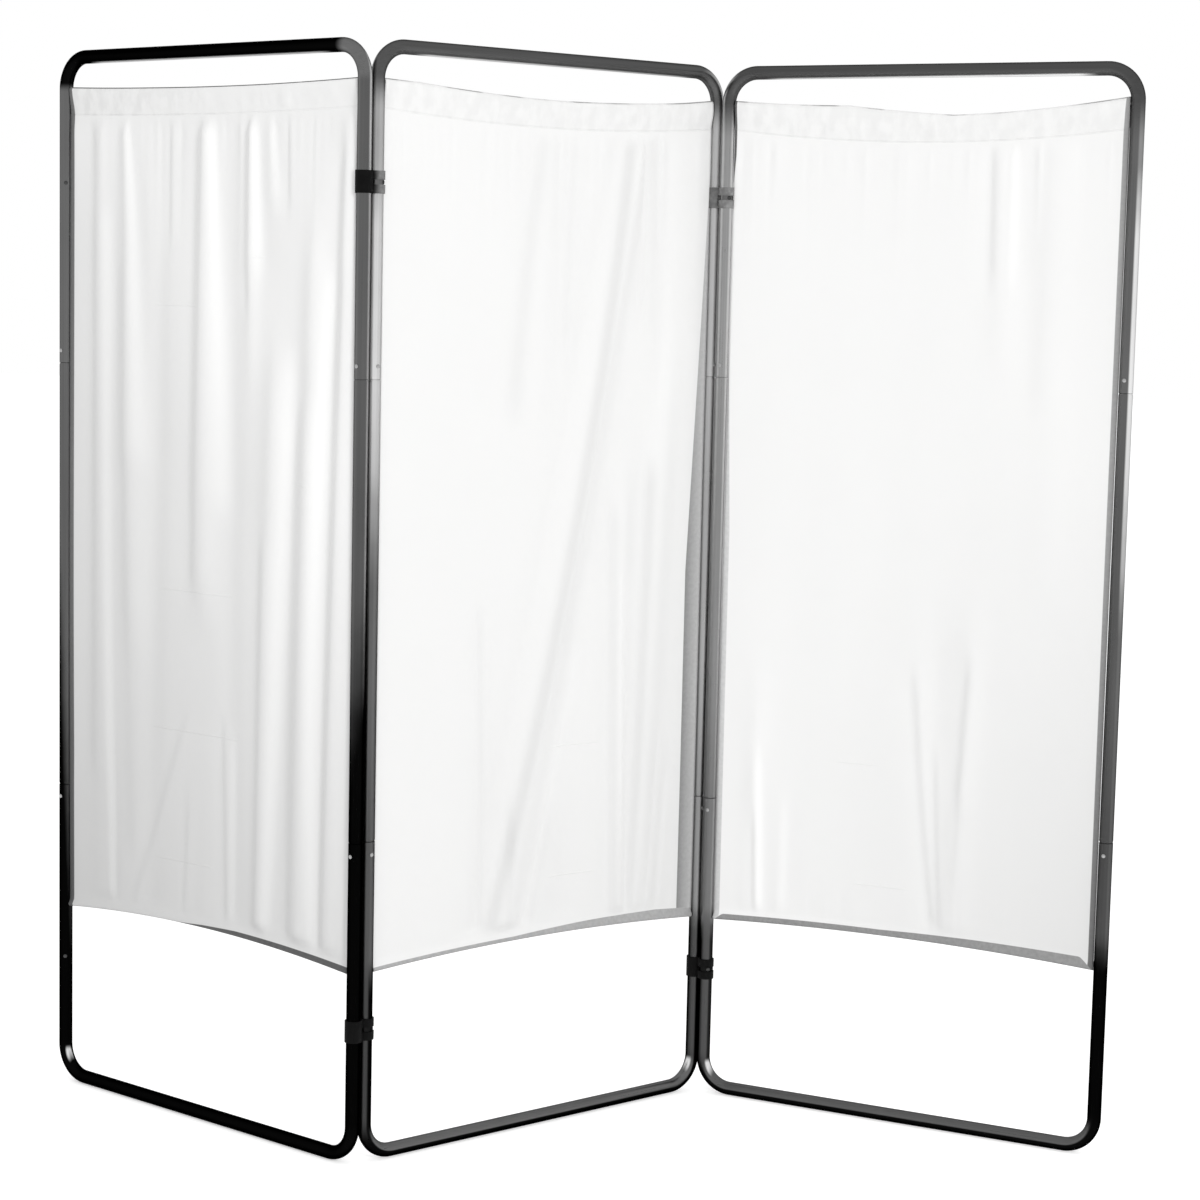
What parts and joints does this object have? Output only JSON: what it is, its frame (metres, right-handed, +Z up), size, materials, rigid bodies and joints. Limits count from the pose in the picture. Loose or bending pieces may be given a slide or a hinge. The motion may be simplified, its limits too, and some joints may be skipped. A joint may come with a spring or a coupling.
{
  "type": "folding privacy screen",
  "caption": "Free-standing folding ward screen: leaves of bent round tube with hung white cloths, joined by swivelling hinge clips.",
  "frame": {"origin": "centre of the standing screen's bounding box, on the floor", "axes": "+Z up; +X to the right along the screen's spread and +Y to its back, seen from where the picture was taken"},
  "size_m": [1.7248, 0.4936, 1.727],
  "materials": {
    "tube": "polished",
    "rod": "drawn",
    "rivet": "bright",
    "clip": "moulded",
    "cloth": "plain weave"
  },
  "bodies": {
    "left_leaf": {"left_leaf_top_bow": "tube", "left_leaf_bottom_bow": "tube", "left_leaf_side_tube_left": "tube", "left_leaf_side_tube_right": "tube", "left_leaf_rivet_top_left": "rivet", "left_leaf_rivet_top_right": "rivet", "left_leaf_rivet_bottom_left": "rivet", "left_leaf_rivet_bottom_right": "rivet", "left_leaf_hinge_rivet_top": "rivet", "left_leaf_hinge_rivet_bottom": "rivet", "left_leaf_top_rod": "rod", "left_leaf_bottom_rod": "rod", "left_leaf_cloth": "cloth"},
    "middle_leaf": {"middle_leaf_top_bow": "tube", "middle_leaf_bottom_bow": "tube", "middle_leaf_side_tube_left": "tube", "middle_leaf_side_tube_right": "tube", "middle_leaf_rivet_top_left": "rivet", "middle_leaf_rivet_top_right": "rivet", "middle_leaf_rivet_bottom_left": "rivet", "middle_leaf_rivet_bottom_right": "rivet", "middle_leaf_hinge_rivet_top": "rivet", "middle_leaf_hinge_rivet_bottom": "rivet", "middle_leaf_top_rod": "rod", "middle_leaf_bottom_rod": "rod", "middle_leaf_cloth": "cloth"},
    "right_leaf": {"right_leaf_top_bow": "tube", "right_leaf_bottom_bow": "tube", "right_leaf_side_tube_left": "tube", "right_leaf_side_tube_right": "tube", "right_leaf_rivet_top_left": "rivet", "right_leaf_rivet_top_right": "rivet", "right_leaf_rivet_bottom_left": "rivet", "right_leaf_rivet_bottom_right": "rivet", "right_leaf_hinge_rivet_top": "rivet", "right_leaf_hinge_rivet_bottom": "rivet", "right_leaf_top_rod": "rod", "right_leaf_bottom_rod": "rod", "right_leaf_cloth": "cloth"},
    "left_clips": {"left_hinge_clip_top": "clip", "left_hinge_clip_bottom": "clip"},
    "right_clips": {"right_hinge_clip_top": "clip", "right_hinge_clip_bottom": "clip"}
  },
  "joints": [
    {"name": "left_clip_turn", "type": "hinge", "parent": "middle_leaf", "child": "left_clips", "pos_m": [-0.30633, -0.21447, 0.2], "axis": [0, 0, 1], "range_deg": [-98, 7]},
    {"name": "left_leaf_turn", "type": "hinge", "parent": "left_clips", "child": "left_leaf", "pos_m": [-0.32316, -0.23349, 0.2], "axis": [0, 0, 1], "range_deg": [-1.5, 103.5]},
    {"name": "right_clip_turn", "type": "hinge", "parent": "middle_leaf", "child": "right_clips", "pos_m": [0.21802, 0.23336, 0.2], "axis": [0, 0, 1], "range_deg": [-8.5, 96.5]},
    {"name": "right_leaf_turn", "type": "hinge", "parent": "right_clips", "child": "right_leaf", "pos_m": [0.23719, 0.2167, 0.2], "axis": [0, 0, 1], "range_deg": [-104, 1]}
  ]
}
